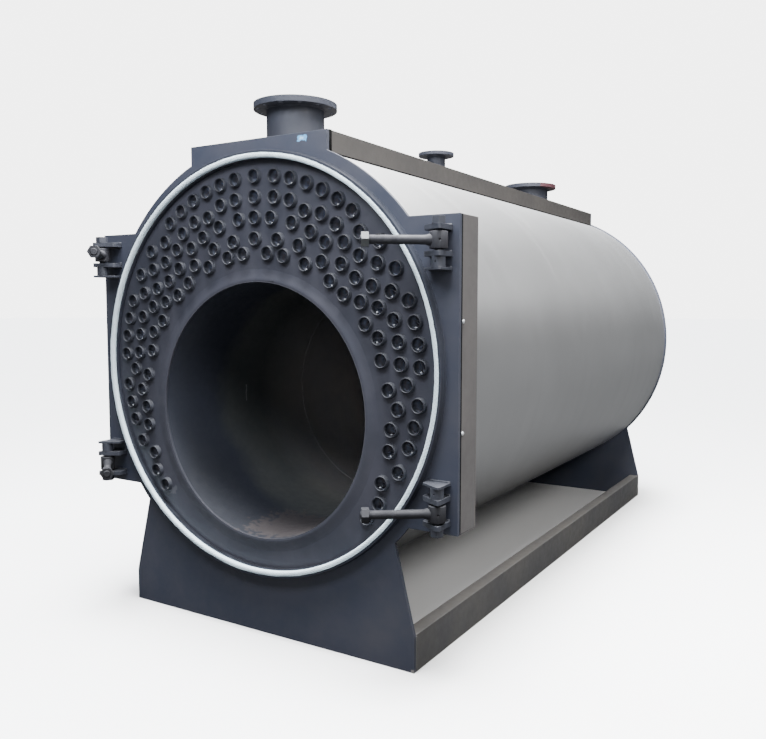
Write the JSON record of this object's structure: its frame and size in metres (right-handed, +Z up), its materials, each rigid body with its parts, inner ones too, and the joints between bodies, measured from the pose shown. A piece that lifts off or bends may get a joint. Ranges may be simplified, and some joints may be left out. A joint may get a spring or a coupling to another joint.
{
  "type": "fire-tube hot-water boiler without its front door",
  "caption": "Industrial fire-tube boiler, front door off: tube plate, furnace, clad drum, top deck, flanged connections, door swing bolts and base frame.",
  "frame": {"origin": "on the floor, in the middle of the front casing plate's foot", "axes": "+X to the right seen from the front, +Y from the front to the rear, +Z up"},
  "size_m": [2.042, 4.416, 2.469],
  "materials": {
    "charcoal_paint": "satin",
    "cladding_sheet": "satin",
    "gasket_rope": "matte",
    "tube_steel": "satin",
    "deck_paint": "satin",
    "bolt_steel": "satin"
  },
  "bodies": {
    "boiler": {"front_casing_plate": "charcoal_paint", "rear_casing_plate": "charcoal_paint", "front_tube_plate": "charcoal_paint", "rear_tube_plate": "charcoal_paint", "pressure_shell": "charcoal_paint", "furnace_tube": "tube_steel", "furnace_end": "tube_steel", "outer_row_tubes": "tube_steel", "second_row_tubes": "tube_steel", "third_row_tubes": "tube_steel", "fourth_row_tubes": "tube_steel", "inner_row_tubes": "tube_steel", "shoulder_tubes": "tube_steel", "door_seat_outer_ring": "charcoal_paint", "door_seat_inner_ring": "charcoal_paint", "rope_gasket": "gasket_rope", "right_upper_cladding": "cladding_sheet", "right_lower_cladding": "cladding_sheet", "left_upper_cladding": "cladding_sheet", "left_lower_cladding": "cladding_sheet", "top_deck": "deck_paint", "right_ear_casing": "deck_paint", "left_ear_casing": "deck_paint", "supply_pipe": "charcoal_paint", "supply_flange": "charcoal_paint", "safety_pipe": "charcoal_paint", "safety_flange": "charcoal_paint", "return_pipe": "charcoal_paint", "return_flange": "charcoal_paint", "right_base_channel": "charcoal_paint", "left_base_channel": "charcoal_paint", "hinge_pins": "bolt_steel", "hinge_knuckles": "charcoal_paint", "smoke_box_drum": "charcoal_paint", "smoke_box_cover": "charcoal_paint", "flue_spigot": "charcoal_paint", "right_upper_bracket": "charcoal_paint", "right_lower_bracket": "charcoal_paint", "left_upper_bracket": "charcoal_paint", "left_lower_bracket": "charcoal_paint"},
    "right_upper_swing_bolt": {"right_upper_eye_bolt": "bolt_steel", "right_upper_nut": "bolt_steel"},
    "right_lower_swing_bolt": {"right_lower_eye_bolt": "bolt_steel", "right_lower_nut": "bolt_steel"},
    "left_upper_swing_bolt": {"left_upper_eye_bolt": "bolt_steel", "left_upper_nut": "bolt_steel"},
    "left_lower_swing_bolt": {"left_lower_eye_bolt": "bolt_steel", "left_lower_nut": "bolt_steel"}
  },
  "joints": [
    {"name": "right_upper_swing", "type": "hinge", "parent": "boiler", "child": "right_upper_swing_bolt", "pos_m": [0.962, -0.072, 1.772], "axis": [0, 0, 1], "range_deg": [-36, 144]},
    {"name": "right_lower_swing", "type": "hinge", "parent": "boiler", "child": "right_lower_swing_bolt", "pos_m": [0.962, -0.072, 0.71], "axis": [0, 0, 1], "range_deg": [-36, 144]},
    {"name": "left_upper_swing", "type": "hinge", "parent": "boiler", "child": "left_upper_swing_bolt", "pos_m": [-0.962, -0.072, 1.772], "axis": [0, 0, -1], "range_deg": [-46, 134]},
    {"name": "left_lower_swing", "type": "hinge", "parent": "boiler", "child": "left_lower_swing_bolt", "pos_m": [-0.962, -0.072, 0.71], "axis": [0, 0, -1], "range_deg": [-40, 140]}
  ]
}
